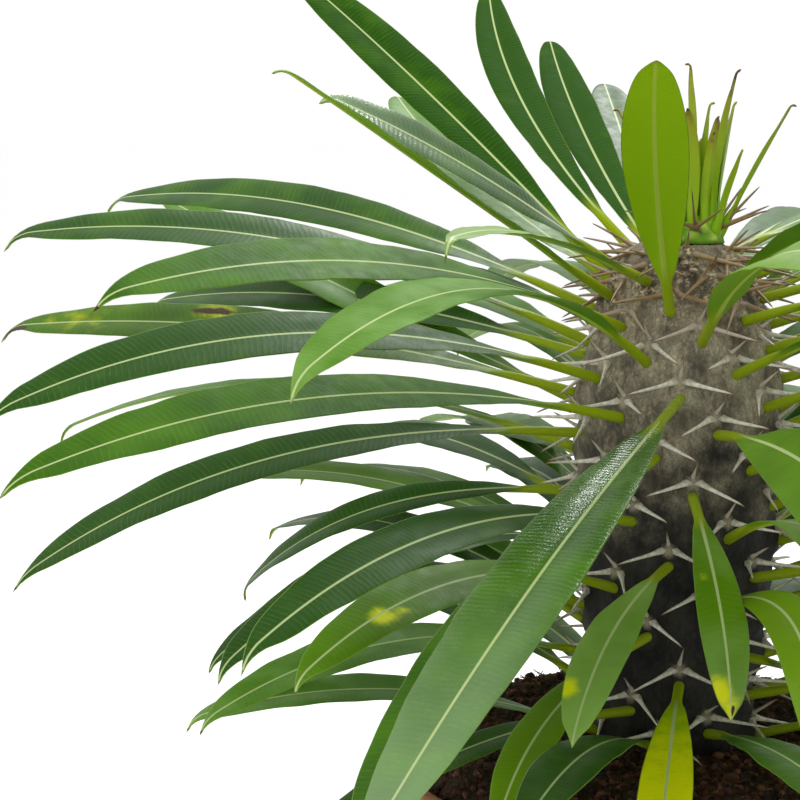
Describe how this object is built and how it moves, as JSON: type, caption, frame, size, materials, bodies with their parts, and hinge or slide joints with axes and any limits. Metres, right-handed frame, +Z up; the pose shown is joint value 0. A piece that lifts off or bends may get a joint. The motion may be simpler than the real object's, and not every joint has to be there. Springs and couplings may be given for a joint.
{
  "type": "madagascar palm",
  "caption": "Potted spiny-trunked succulent: thick tapering trunk, spines in threes, long narrow strap leaves all round and a tuft of young leaves on top.",
  "frame": {"origin": "centre of the pot's flat foot, on the surface it stands on", "axes": "+Z up along the pot's axis, front towards -Y, +X to the right"},
  "size_m": [0.622, 0.64, 0.5643],
  "materials": {
    "pot": "plain unglazed clay",
    "soil": "loose dark coir",
    "trunk": "grey wrinkled bark with hard spines",
    "crown": "tender young leaves",
    "leaf": "smooth waxy leaf"
  },
  "bodies": {
    "root": {"crown": "crown", "leaf_001": "leaf", "leaf_003": "leaf", "leaf_004": "leaf", "leaf_006": "leaf", "leaf_009": "leaf", "leaf_011": "leaf", "leaf_014": "leaf", "leaf_016": "leaf", "leaf_017": "leaf", "leaf_019": "leaf", "leaf_022": "leaf", "leaf_024": "leaf", "leaf_025": "leaf", "leaf_027": "leaf", "leaf_030": "leaf", "leaf_032": "leaf", "leaf_033": "leaf", "leaf_035": "leaf", "leaf_037": "leaf", "leaf_038": "leaf", "leaf_040": "leaf", "leaf_043": "leaf", "leaf_045": "leaf", "leaf_046": "leaf", "leaf_048": "leaf", "leaf_053": "leaf", "leaf_056": "leaf", "leaf_058": "leaf", "leaf_059": "leaf", "leaf_061": "leaf", "leaf_064": "leaf", "leaf_066": "leaf", "leaf_067": "leaf", "leaf_069": "leaf", "leaf_071": "leaf", "leaf_072": "leaf", "leaf_074": "leaf", "leaf_077": "leaf", "leaf_079": "leaf", "leaf_080": "leaf", "leaf_082": "leaf", "leaf_085": "leaf", "leaf_087": "leaf", "leaf_090": "leaf", "leaf_092": "leaf", "leaf_093": "leaf", "leaf_095": "leaf", "leaf_098": "leaf", "leaf_099": "leaf", "leaf_100": "leaf", "leaf_101": "leaf", "leaf_102": "leaf", "leaf_104": "leaf", "pot": "pot", "soil": "soil", "trunk": "trunk"}
  },
  "joints": []
}
